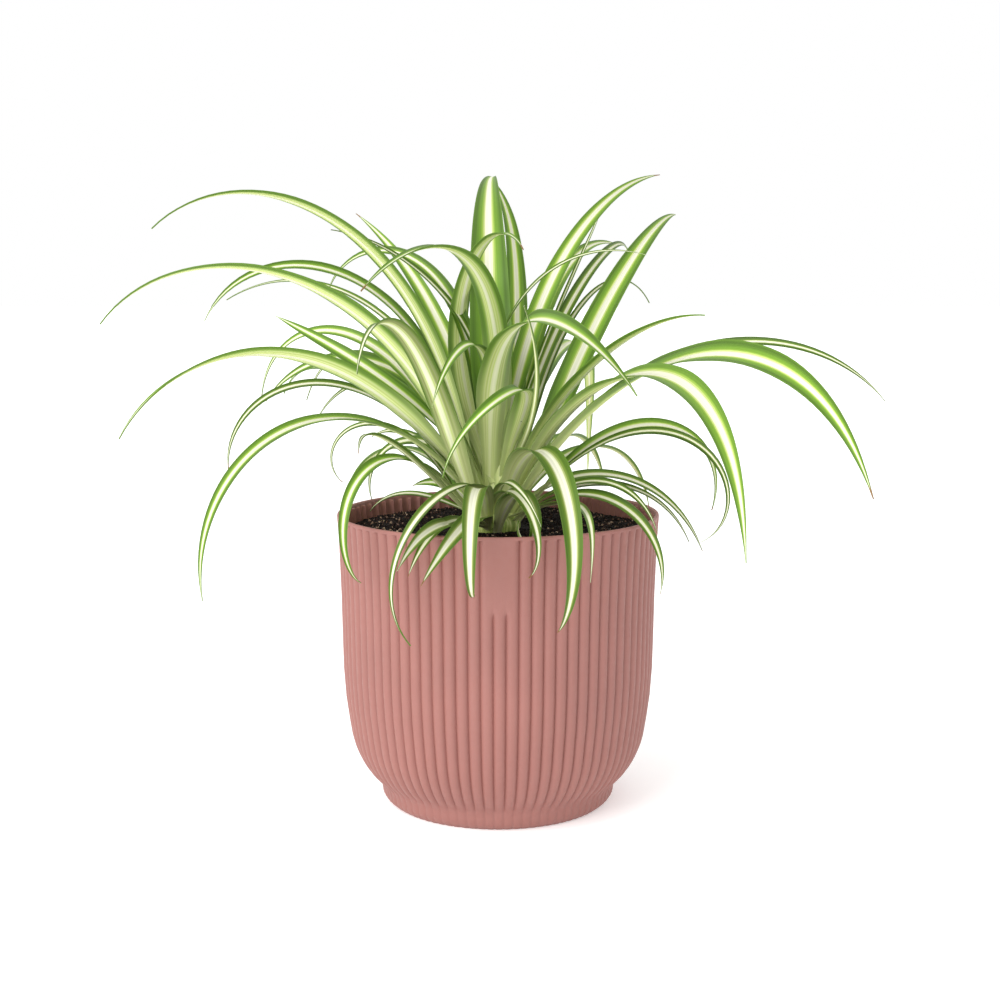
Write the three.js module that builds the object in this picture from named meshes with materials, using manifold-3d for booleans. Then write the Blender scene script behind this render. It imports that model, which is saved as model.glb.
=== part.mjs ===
// A spider plant in a ribbed pot: pot, soil, crown, and every blade at its real size.
// Millimetres, +Z up. The pot's axis is Z, its foot stands on z = 0, and the front faces -Y.
import * as THREE from 'three';
import { mergeVertices } from 'three/addons/utils/BufferGeometryUtils.js';
import Module from 'manifold-3d';

const wasm = await Module();
wasm.setup();

const DEGREES = Math.PI / 180;

// Pot
const POT_HEIGHT = 202.3;
const WALL = 2.8;
const POT_FLOOR = 6;
const RIB_COUNT = 82;
const FIRST_RIB = -89.4; // degrees, so that a crest stands just right of the front
const RIB_DEPTH = 1.8;
// Outer wall from the foot up: height, radius over the crests, share of the full rib depth
const POT_OUTSIDE = [
  [0, 75.8, 0],
  [3, 79.4, 0],
  [13, 82.6, 0],
  [15.5, 84.2, 0.5],
  [21, 89.4, 1],
  [30, 95.6, 1],
  [42, 100.8, 1],
  [60, 104.3, 1],
  [150, 108.8, 1],
  [158, 109.1, 1],
  [196, 110.7, 1],
  [199.5, 111, 0],
];
// A smooth panel at the front runs from this height to the rim, this many ribs to each side of the crest
const PANEL_BOTTOM = 155;
const PANEL_RIBS = 1.5;
const LIP_OUTSIDE = 110.3;
const LIP_INSIDE = 108.9;
const BELLY_Z = 42; // the inner wall is straight from here up, and drawn in below
// Inner wall from the lip down: height, share of the full rib depth
const POT_INSIDE = [[199, 0], [196.5, 1], [183, 1], [BELLY_Z, 0]];
const POT_FLOOR_RADIUS = 74;

// Soil, which fills the pot to a finger's breadth below the rim
const SOIL_TOP = 191;
const SOIL_EDGE_TOP = 189.5;
const SOIL_EDGE_FALL = 12; // width of the outer band that falls to the edge
const SOIL_WALL_GAP = 2.2; // the wall's inner ridges reach into this gap
const SOIL_SIDES = 48;
const SEAT_GAP = 0.35; // between pieces that touch on the real plant

// Crown: a buried stub, and a blunt cone that the blades grow from
const CROWN_X = -2;
const CROWN_Y = -4;
const CROWN_SIDES = 24;
const CROWN_STUB_Z = 176;
const CROWN_STUB_RADIUS = 14;
const CROWN_BASE_Z = 190;
const CROWN_BASE_RADIUS = 21;
const CROWN_TOP_Z = 226;
const CROWN_TOP_RADIUS = 4;

// Blades
const STEP_LENGTH = 30; // a blade has a step for each of these along it, and at least the fewest
const FEWEST_STEPS = 8;
const BLADE_THICKNESS = 0.8;
const TIP_WIDTH = 1.2;
const CHANNEL = 0.16; // depth of the channel, as a share of the width
const FOOT_WIDTH = 0.45; // width at the foot, as a share of the full width
const FULL_WIDTH_AT = 0.3; // share of the length where the blade reaches its full width
const TIP_TAPER = 2.5; // power of the taper to the tip
const FOOT_LIFT = 1.2; // height of a foot over the cone, which is about 0.5 mm square to it

// Colours from the plant: terracotta plastic, peat, blanched crown and green blade
const POT_COLOR = 0xc98d80;
const SOIL_COLOR = 0x1f1613;
const CROWN_COLOR = 0xcdd8a0;
const BLADE_COLOR = 0x86ad55;

// One row for each blade, seen from above with 0 to the right, 90 to the back and 270 to the front:
// the angle and ring radius of its foot on the crown, its heading and its rise there, how far it bends
// down in all, the power that delays the bend, how far it swings round, its length and width, how far
// its middle is turned about its own length, and how far its tip is.
// Rows of one name grow into each other and are one piece.
const BLADES = [
  ['leaf_left_01', 170, 10, 185, 77, 120, 2, 30, 350, 13, 40, 0],
  ['leaf_left_02', 172, 13.5, 170, 80, 145, 2, 35, 300, 15, 0, -60],
  ['leaf_left_02', 160, 11, 160, 63, 145, 2, -20, 270, 12, 0, -80],
  ['leaf_left_03', 145, 9, 140, 70, 95, 1.2, 5, 320, 7, 0, -40],
  ['leaf_left_04', 110, 9, 120, 70, 45, 1, 10, 270, 16, 0, -40],
  ['leaf_left_05', 240, 14, 230, 63, 115, 2, -60, 350, 18, 40, -20],
  ['leaf_left_06', 220, 9, 210, 75, 65, 0.6, -90, 220, 15, 0, -75],
  ['leaf_left_07', 205, 10, 210, 50, 110, 1.8, 5, 310, 18, 40, -10],
  ['leaf_left_08', 130, 10, 140, 63, 120, 1.6, 30, 230, 15, 0, -85],
  ['leaf_left_09', 165, 15, 170, 62, 103, 1.4, -55, 245, 14, 0, -60],
  ['leaf_left_10', 135, 12, 145, 60, 115, 1.5, -25, 265, 9, 0, -85],
  ['leaf_left_10', 135, 12, 135, 65, 125, 1.5, 15, 205, 8, 0, -85],
  ['leaf_left_11', 198, 13, 190, 57, 155, 2, 10, 240, 11, 0, -55],
  ['leaf_left_12', 205, 14, 205, 60, 160, 1.2, 20, 300, 16, 0, -30],
  ['leaf_left_13', 180, 17, 180, 60, 205, 2.5, -15, 160, 6, 0, -80],
  ['leaf_left_14', 140, 14, 150, 65, 175, 1.5, 5, 140, 10, 0, -85],
  ['leaf_left_14', 140, 14, 150, 50, 80, 1.8, -15, 120, 8, 0, -85],
  ['leaf_left_15', 225, 18, 215, 45, 65, 1.6, 60, 200, 8, 0, 15],
  ['leaf_left_16', 205, 17, 215, 55, 215, 1.6, 35, 210, 12, 0, -35],
  ['leaf_left_17', 145, 17, 155, 20, 70, 2, -10, 95, 6, 0, -65],
  ['leaf_left_17', 145, 17, 135, 65, 90, 0.9, 30, 60, 12, 0, -85],
  ['leaf_left_18', 220, 8, 210, 65, 50, 3, 30, 145, 7, 0, -60],
  ['leaf_front_01', 265, 12, 258, 35, 165, 1.3, -60, 200, 11, 0, 0],
  ['leaf_front_02', 250, 19, 250, 15, 40, 1.6, 5, 170, 13, 0, -45],
  ['leaf_front_02', 255, 19, 250, 20, 70, 1.7, -5, 135, 11, 0, -30],
  ['leaf_front_02', 255, 19, 268, 30, 65, 0.9, -25, 165, 15, 0, -40],
  ['leaf_front_03', 255, 17.5, 265, 35, 225, 2.2, 0, 200, 16, 0, -5],
  ['leaf_front_04', 275, 20, 277, 40, 345, 3, 30, 140, 14, 0, 15],
  ['leaf_front_04', 270, 15, 270, 30, 175, 2.3, 40, 150, 10, 0, 25],
  ['leaf_front_04', 270, 15, 270, 45, 95, 1.3, 30, 125, 7, 0, 40],
  ['leaf_front_05', 293, 14.5, 288, 65, 215, 1.2, 0, 255, 20, 0, 10],
  ['leaf_front_06', 310, 16, 306, 18, 65, 2, -45, 200, 8, 0, 0],
  ['leaf_front_07', 230, 16, 235, 60, 125, 2.8, 25, 265, 18, 0, 30],
  ['leaf_heart', 95, 7, 105, 90, 85, 1.4, 120, 235, 8, 0, -60],
  ['leaf_heart', 125, 8, 135, 85, 155, 2.4, 20, 265, 13, 0, -70],
  ['leaf_heart', 5, 12, 190, 152, 152, 1, 80, 80, 12, 0, -85],
  ['leaf_heart', 230, 4.5, 265, 95, 144, 0.9, 50, 288, 26, 30, -5],
  ['leaf_heart', 255, 4, 100, 88, 95, 1.5, -15, 310, 31, 0, 0],
  ['leaf_heart', 230, 4, 310, 125, 165, 1.8, -15, 243, 18, 0, 0],
  ['leaf_heart', 260, 7.5, 275, 125, 190, 1, -35, 215, 13, 0, -30],
  ['leaf_heart', 290, 8.5, 275, 115, 155, 1, -45, 315, 20, 0, 0],
  ['leaf_heart', 295, 5, 315, 110, 125, 1.2, 15, 235, 5, 0, 85],
  ['leaf_heart', 330, 5, 330, 82, 160, 1.1, -150, 203, 17, 0, -20],
  ['leaf_heart', 285, 6.5, 295, 35, 0, 1, -40, 220, 5, 0, -30],
  ['leaf_top', 55, 10, 69, 70, 50, 2, 42, 290, 18, 0, 0],
  ['leaf_right_01', 35, 4, 50, 80, 75, 1.2, 5, 320, 16, 0, 55],
  ['leaf_right_01', 35, 4, 35, 70, 60, 1.4, 50, 280, 4, 0, 0],
  ['leaf_right_02', 60, 11, 70, 70, 80, 1.3, -5, 330, 16, 0, 50],
  ['leaf_right_03', 20, 15, 29, 65, 65, 1.8, 45, 328, 22, 0, 55],
  ['leaf_right_04', 45, 9, 35, 75, 105, 1.4, 50, 340, 10, 0, 60],
  ['leaf_right_05', 30, 13, 50, 70, 110, 2, 10, 280, 6, 0, 35],
  ['leaf_right_06', 314, 12, 327, 74, 75, 0.9, -35, 250, 14, 0, 0],
  ['leaf_right_07', 325, 13, 320, 67, 140, 1.1, -45, 360, 25, 0, 40],
  ['leaf_right_08', 330, 14, 325, 57, 115, 1.3, -35, 385, 26, 0, 65],
  ['leaf_right_09', 351, 9, 338, 49, 100, 1.9, 5, 300, 11, 0, 70],
  ['leaf_right_10', 350, 17.5, 340, 55, 170, 1.9, 60, 210, 13, 0, 85],
  ['leaf_right_11', 337, 15.5, 335, 45, 200, 2.3, 0, 230, 8, 0, 85],
  ['leaf_right_12', 15, 16, 15, 60, 125, 0.7, 15, 180, 10, 0, 85],
  ['leaf_right_12', 15, 16, 15, 35, 95, 1, 25, 165, 7, 0, 85],
  ['leaf_right_13', 325, 17, 325, 35, 140, 1.5, 0, 160, 11, 0, 60],
  ['leaf_right_13', 325, 17, 330, 40, 110, 1.7, -15, 135, 8, 0, 70],
  ['leaf_right_14', 65, 15, 51, 85, 175, 1, 45, 375, 16, 0, 0],
  ['leaf_back_01', 50, 17, 45, 45, 120, 1.4, 5, 195, 13, 0, 0],
  ['leaf_back_02', 60, 16, 60, 45, 110, 1.4, 5, 200, 13, 0, 0],
  ['leaf_back_03', 95, 12, 85, 60, 135, 1.5, 10, 240, 14, 0, 0],
  ['leaf_back_04', 100, 15, 100, 45, 120, 1.4, -5, 205, 13, 0, 0],
  ['leaf_back_05', 110, 11, 115, 60, 130, 1.5, -10, 230, 14, 0, 0],
  ['leaf_back_06', 125, 18, 130, 45, 115, 1.4, 5, 190, 12, 0, 0],
  ['leaf_back_07', 85, 19, 75, 27, 80, 1.4, 5, 140, 10, 0, 0],
  ['leaf_back_07', 85, 19, 90, 27, 85, 1.4, -5, 150, 10, 0, 0],
];

function smooth(share) {
  const t = Math.min(1, Math.max(0, share));
  return t * t * (3 - 2 * t);
}

// Closed mesh through rings of equal count, with a fan at each end.
// Each ring runs anticlockwise as seen from the last ring, looking back to the first.
function loft(rings, startPoint, endPoint) {
  const count = rings[0].length;
  const corners = [...rings.flat(), startPoint, endPoint];
  const start = rings.length * count;
  const last = start - count;
  const faces = [];
  for (let i = 0; i < count; i++) {
    const next = (i + 1) % count;
    for (let here = 0; here < last; here += count) {
      const above = here + count;
      faces.push(here + i, here + next, above + next);
      faces.push(here + i, above + next, above + i);
    }
    faces.push(start, next, i);
    faces.push(start + 1, last + i, last + next);
  }
  const geometry = new THREE.BufferGeometry();
  const positions = corners.flatMap((corner) => corner.toArray());
  geometry.setAttribute('position', new THREE.Float32BufferAttribute(positions, 3));
  geometry.setIndex(faces);
  return geometry;
}

function toSolid(geometry) {
  const bare = new THREE.BufferGeometry();
  bare.setAttribute('position', geometry.getAttribute('position'));
  bare.setIndex(geometry.index);
  const merged = mergeVertices(bare);
  return new wasm.Manifold(new wasm.Mesh({
    numProp: 3,
    vertProperties: merged.getAttribute('position').array,
    triVerts: new Uint32Array(merged.index.array),
  }));
}

function toGeometry(solid) {
  const { vertProperties, triVerts } = solid.getMesh();
  const geometry = new THREE.BufferGeometry();
  geometry.setAttribute('position', new THREE.BufferAttribute(vertProperties, 3));
  geometry.setIndex(new THREE.BufferAttribute(triVerts, 1));
  return geometry;
}

function piece(name, geometry, color, roughness) {
  const facets = geometry.toNonIndexed();
  facets.computeVertexNormals();
  const mesh = new THREE.Mesh(facets, new THREE.MeshStandardMaterial({ color, roughness, metalness: 0 }));
  mesh.name = name;
  return mesh;
}

// One level of the pot, with two corners to a rib: one on its crest and one in the groove beside it
function potRing(z, crestRadius, ribShare, hasPanel) {
  const ring = [];
  for (let i = 0; i < 2 * RIB_COUNT; i++) {
    const angle = FIRST_RIB * DEGREES + (i * Math.PI) / RIB_COUNT;
    const ribsFromFront = Math.min(i, 2 * RIB_COUNT - i) / 2;
    const inPanel = hasPanel && ribsFromFront < PANEL_RIBS;
    const isGroove = i % 2 === 1 && !inPanel;
    const radius = isGroove ? crestRadius - RIB_DEPTH * ribShare : crestRadius;
    ring.push(new THREE.Vector3(radius * Math.cos(angle), radius * Math.sin(angle), z));
  }
  return ring;
}

function outerRadius(z) {
  const above = POT_OUTSIDE.findIndex(([height]) => height >= z);
  const [z0, radius0] = POT_OUTSIDE[above - 1];
  const [z1, radius1] = POT_OUTSIDE[above];
  return radius0 + ((radius1 - radius0) * (z - z0)) / (z1 - z0);
}

function makePot() {
  const rings = [
    ...POT_OUTSIDE.map(([z, radius, ribs]) => potRing(z, radius, ribs, z > PANEL_BOTTOM)),
    potRing(POT_HEIGHT, LIP_OUTSIDE, 0, false),
    potRing(POT_HEIGHT, LIP_INSIDE, 0, false),
    ...POT_INSIDE.map(([z, ribs]) => potRing(z, outerRadius(z) - WALL, ribs, false)),
    potRing(POT_FLOOR, POT_FLOOR_RADIUS, 0, false),
  ];
  return loft(rings, new THREE.Vector3(0, 0, 0), new THREE.Vector3(0, 0, POT_FLOOR));
}

// The crown's outline from the stub up, grown by a clearance to make the hole that it stands in
function crownOutline(clearance) {
  return [
    [0, CROWN_STUB_Z - clearance],
    [CROWN_STUB_RADIUS + clearance, CROWN_STUB_Z - clearance],
    [CROWN_BASE_RADIUS + clearance, CROWN_BASE_Z - clearance],
    [CROWN_BASE_RADIUS + clearance, SOIL_TOP + clearance],
    [0, CROWN_TOP_Z],
  ].map(([radius, z]) => new THREE.Vector2(radius, z));
}

function turned(outline, sides) {
  return new THREE.LatheGeometry(outline, sides).rotateX(Math.PI / 2);
}

function makeSoil() {
  const wallRadius = (z) => outerRadius(z) - WALL - SOIL_WALL_GAP;
  const outline = [
    [0, POT_FLOOR + SEAT_GAP],
    [POT_FLOOR_RADIUS - SOIL_WALL_GAP, POT_FLOOR + SEAT_GAP],
    [wallRadius(BELLY_Z), BELLY_Z],
    [wallRadius(SOIL_EDGE_TOP), SOIL_EDGE_TOP],
    [wallRadius(SOIL_EDGE_TOP) - SOIL_EDGE_FALL, SOIL_TOP],
    [0, SOIL_TOP],
  ].map(([radius, z]) => new THREE.Vector2(radius, z));
  const hole = turned(crownOutline(SEAT_GAP), CROWN_SIDES).translate(CROWN_X, CROWN_Y, 0);
  return toGeometry(toSolid(turned(outline, SOIL_SIDES)).subtract(toSolid(hole)));
}

function makeCrown() {
  const outline = crownOutline(0).slice(0, 3);
  outline.push(new THREE.Vector2(CROWN_TOP_RADIUS, CROWN_TOP_Z), new THREE.Vector2(0, CROWN_TOP_Z));
  return turned(outline, CROWN_SIDES).translate(CROWN_X, CROWN_Y, 0);
}

// Height of the crown's cone at a ring radius
function coneHeight(ring) {
  const share = (CROWN_BASE_RADIUS - ring) / (CROWN_BASE_RADIUS - CROWN_TOP_RADIUS);
  return CROWN_BASE_Z + share * (CROWN_TOP_Z - CROWN_BASE_Z);
}

function footOf(blade) {
  const angle = blade.foot * DEGREES;
  return new THREE.Vector3(
    CROWN_X + blade.ring * Math.cos(angle),
    CROWN_Y + blade.ring * Math.sin(angle),
    coneHeight(blade.ring) + FOOT_LIFT,
  );
}

// Unit vectors along the blade, across it to its left, and up from its channel
function bladeAxes(blade, share) {
  const rise = (blade.rise - blade.bend * share ** blade.late) * DEGREES;
  const heading = (blade.heading + blade.swing * share) * DEGREES;
  const twist = (blade.turn * Math.sin(share * Math.PI) + blade.twist * share) * DEGREES;
  const along = new THREE.Vector3(
    Math.cos(rise) * Math.cos(heading), Math.cos(rise) * Math.sin(heading), Math.sin(rise));
  const across = new THREE.Vector3(-Math.sin(heading), Math.cos(heading), 0).applyAxisAngle(along, twist);
  return { along, across, up: along.clone().cross(across) };
}

function bladeWidth(blade, share) {
  const foot = FOOT_WIDTH + (1 - FOOT_WIDTH) * smooth(share / FULL_WIDTH_AT);
  return Math.max(TIP_WIDTH, blade.width * foot * (1 - share ** TIP_TAPER));
}

// Six corners of the channelled section: the upper face from right to left, then the lower face back
function bladeSection(blade, share, centre) {
  const { across, up } = bladeAxes(blade, share);
  const width = bladeWidth(blade, share);
  const corner = (side, height) =>
    centre.clone().addScaledVector(across, side * width).addScaledVector(up, height);
  const fold = -CHANNEL * width;
  return [
    corner(-0.5, 0),
    corner(-0.5, -BLADE_THICKNESS),
    corner(0, fold - BLADE_THICKNESS),
    corner(0.5, -BLADE_THICKNESS),
    corner(0.5, 0),
    corner(0, fold),
  ];
}

function makeBlade(blade) {
  const steps = Math.max(FEWEST_STEPS, Math.ceil(blade.length / STEP_LENGTH));
  const centre = footOf(blade);
  const rings = [bladeSection(blade, 0, centre)];
  for (let i = 1; i <= steps; i++) {
    const { along } = bladeAxes(blade, (i - 0.5) / steps);
    centre.addScaledVector(along, blade.length / steps);
    rings.push(bladeSection(blade, i / steps, centre));
  }
  const middle = (ring) => ring[2].clone().add(ring[5]).multiplyScalar(0.5);
  return loft(rings, middle(rings[0]), middle(rings.at(-1)));
}

const plant = new THREE.Group();
plant.add(piece('pot', makePot(), POT_COLOR, 0.55));
plant.add(piece('soil', makeSoil(), SOIL_COLOR, 1));
plant.add(piece('crown', makeCrown(), CROWN_COLOR, 0.6));

const KEYS = ['foot', 'ring', 'heading', 'rise', 'bend', 'late', 'swing', 'length', 'width', 'turn', 'twist'];
const leaves = new Map();
for (const [name, ...values] of BLADES) {
  const blade = Object.fromEntries(KEYS.map((key, i) => [key, values[i]]));
  leaves.set(name, [...(leaves.get(name) ?? []), toSolid(makeBlade(blade))]);
}
for (const [name, blades] of leaves) {
  const leaf = blades.reduce((joined, blade) => joined.add(blade));
  plant.add(piece(name, toGeometry(leaf), BLADE_COLOR, 0.45));
}

export default plant;
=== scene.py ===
# A spider plant in a ribbed pot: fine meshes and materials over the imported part.
# Sizes are in millimetres, and MM turns them into the frame's metres.
import math
import random

import bpy
import numpy as np
from mathutils import Euler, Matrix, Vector, noise


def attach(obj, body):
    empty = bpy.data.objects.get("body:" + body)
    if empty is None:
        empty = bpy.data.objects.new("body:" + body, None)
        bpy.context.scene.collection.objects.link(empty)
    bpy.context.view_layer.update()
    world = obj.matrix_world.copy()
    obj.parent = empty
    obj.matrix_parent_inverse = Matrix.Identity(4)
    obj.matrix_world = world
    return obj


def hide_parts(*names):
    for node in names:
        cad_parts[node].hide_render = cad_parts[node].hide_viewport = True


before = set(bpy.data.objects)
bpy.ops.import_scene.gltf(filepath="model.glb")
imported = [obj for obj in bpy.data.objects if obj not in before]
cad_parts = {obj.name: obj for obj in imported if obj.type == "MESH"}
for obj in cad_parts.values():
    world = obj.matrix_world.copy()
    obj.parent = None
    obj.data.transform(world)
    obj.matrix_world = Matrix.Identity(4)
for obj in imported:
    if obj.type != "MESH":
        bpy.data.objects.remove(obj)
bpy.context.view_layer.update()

MM = 0.001
BODY = "root"

# Camera, from the photograph's own perspective
FRAME_PIXELS = 1000
FOCAL_PIXELS = 1617.6
AXIS_PIXEL = 498  # the column that the camera looks straight at
SENSOR_WIDTH = 36
CAMERA_PLACE = (0, -1107.9, 368.1)
CAMERA_PITCH = 8.11  # degrees down

# Pot
WALL = 2.8
POT_FLOOR = 6
RIB_COUNT = 82
RIB_SEGMENTS = 10
FIRST_RIB = -89.4  # degrees, so that a crest stands just right of the front
RIB_DEPTH = 2.2
RIB_POWER = 2.6  # how round a rib is and how narrow the groove beside it
BELLY_Z = 42  # the inner wall is drawn in below this height
# Outer wall from the foot up: height, radius over the crests, share of the full rib depth
POT_OUTSIDE = [
    (0, 75.8, 0.3),
    (3, 79.4, 0.3),
    (13, 82.6, 0.25),
    (15.5, 84.2, 0.5),
    (21, 89.4, 1),
    (30, 95.6, 1),
    (42, 100.8, 1),
    (60, 104.3, 1),
    (150, 108.8, 1),
    (158, 109.1, 1),
    (196, 110.7, 1),
    (199.5, 111, 1),
    (200.2, 111, 0),
]
RADIUS_COLUMN = 1
RIB_COLUMN = 2
# Heights of the rings that the outer wall is made of
POT_LEVELS = [0, 0.6, 1.5, 3, 6, 9, 12, 14, 15.5, 17, 19, 21, 24, 27, 30, 34, 38, 42, 48, 54, 60, 75, 95,
              120, 148, 151, 154, 157, 170, 185, 196, 198.5, 199.5, 199.9, 200.3]
# A smooth panel at the front runs from this height to the rim, flat over this many ribs to each side
PANEL_BOTTOM = 150
PANEL_BLEND = 6
PANEL_FLAT = 1
# The rounded lip from outside to inside: height, radius
POT_LIP = [(201.2, 111), (201.9, 110.8), (202.3, 110.3), (202.3, 109.3), (202, 108.7), (201, 108.3)]
# Inner wall from the lip down: height, share of the full rib depth
POT_INSIDE = [(200, 0), (199.4, 1), (196.5, 1), (190, 1), (183, 1), (120, 0.5), (BELLY_Z, 0)]
POT_FLOOR_RADIUS = 74

# Soil
SOIL_TOP = 191
SOIL_EDGE_TOP = 189.5
SOIL_EDGE_FALL = 12  # width of the outer band that falls to the edge
SOIL_SHOULDER_IN = 0.5  # its side is narrower by this much, so far below its edge
SOIL_SHOULDER_DOWN = 3
SOIL_HOLE_DOWN = 1  # how far under the crown's base its hole narrows
SOIL_WALL_GAP = 2.2  # the wall's inner ridges reach into this gap
SOIL_SECTORS = 240
SOIL_RING_STEP = 1.8
SOIL_LUMP = 1.1  # height of its lumps
SOIL_LUMP_SIZE = 5
SOIL_SWELL = 1.2  # height of its slow rise and fall
SOIL_SWELL_SIZE = 40
SEAT_GAP = 0.35  # between pieces that touch on the real plant
GRAIN_COUNT = 6000
GRAIN_SEED = 3
GRAIN_SIZES = (0.4, 1.5)  # half sizes
GRAIN_CORNERS = (0.8, 1.1)  # how far its corners reach, as a share of its half sizes
GRAIN_RAISE = 0.3  # its middle is above the soil by this share of its least half size
GRAIN_EDGE = 4  # kept free beside the wall
PALE_GRAINS = 0.12  # share of the grains that are pale bits of wood and grit
PALE_SHADES = (0.85, 1)  # their places on the scale of the soil's colours
DARK_SHADES = (0, 0.8)

# Crown
CROWN_X = -2
CROWN_Y = -4
CROWN_STUB_Z = 176
CROWN_STUB_RADIUS = 14
CROWN_BASE_Z = 190
CROWN_BASE_RADIUS = 21
CROWN_TOP_Z = 226
CROWN_TOP_RADIUS = 4
CROWN_SIDES = 144
CROWN_LEVELS = 14
CROWN_FOLDS = 12  # leaf sheaths wrapped round it
CROWN_FOLD_DEPTH = 0.9
CROWN_FOLD_LEAN = 2  # how far the folds lean round from foot to top, in radians of their wave
CROWN_TUCK = 4  # how far its foot is drawn in
CROWN_TUCK_TO = 0.25  # share of its height where that ends

# Blades
BLADE_SEGMENTS = 48
BLADE_COLUMNS = 13  # across one face
BLADE_THICKNESS = 0.8
EDGE_THIN = 0.4  # share of the thickness lost at the edges
EDGE_THIN_POWER = 4  # the higher, the nearer to the edges it stays
TIP_WIDTH = 0.4
CHANNEL = 0.16  # depth of the channel, as a share of the width
CHANNEL_POWER = 1.4  # 1 is a sharp fold, 2 a round trough
FOOT_WIDTH = 0.45  # width at the foot, as a share of the full width
FULL_WIDTH_AT = 0.3  # share of the length where the blade reaches its full width
TIP_TAPER = 2.5  # power of the taper to the tip
FOOT_LIFT = 1.2  # height of a foot over the cone
FOOT_ROOT = 5  # how far a blade runs back into the crown
EDGE_WAVE = 0.015  # height of the waves along the edges, as a share of the width
EDGE_WAVE_LENGTH = 65
EDGE_WAVE_POWER = 3  # the higher, the nearer to the edges they stay
BLADE_SEED = 11
SHARP_ANGLE = 50  # degrees; an edge that turns more isn't smoothed

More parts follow.
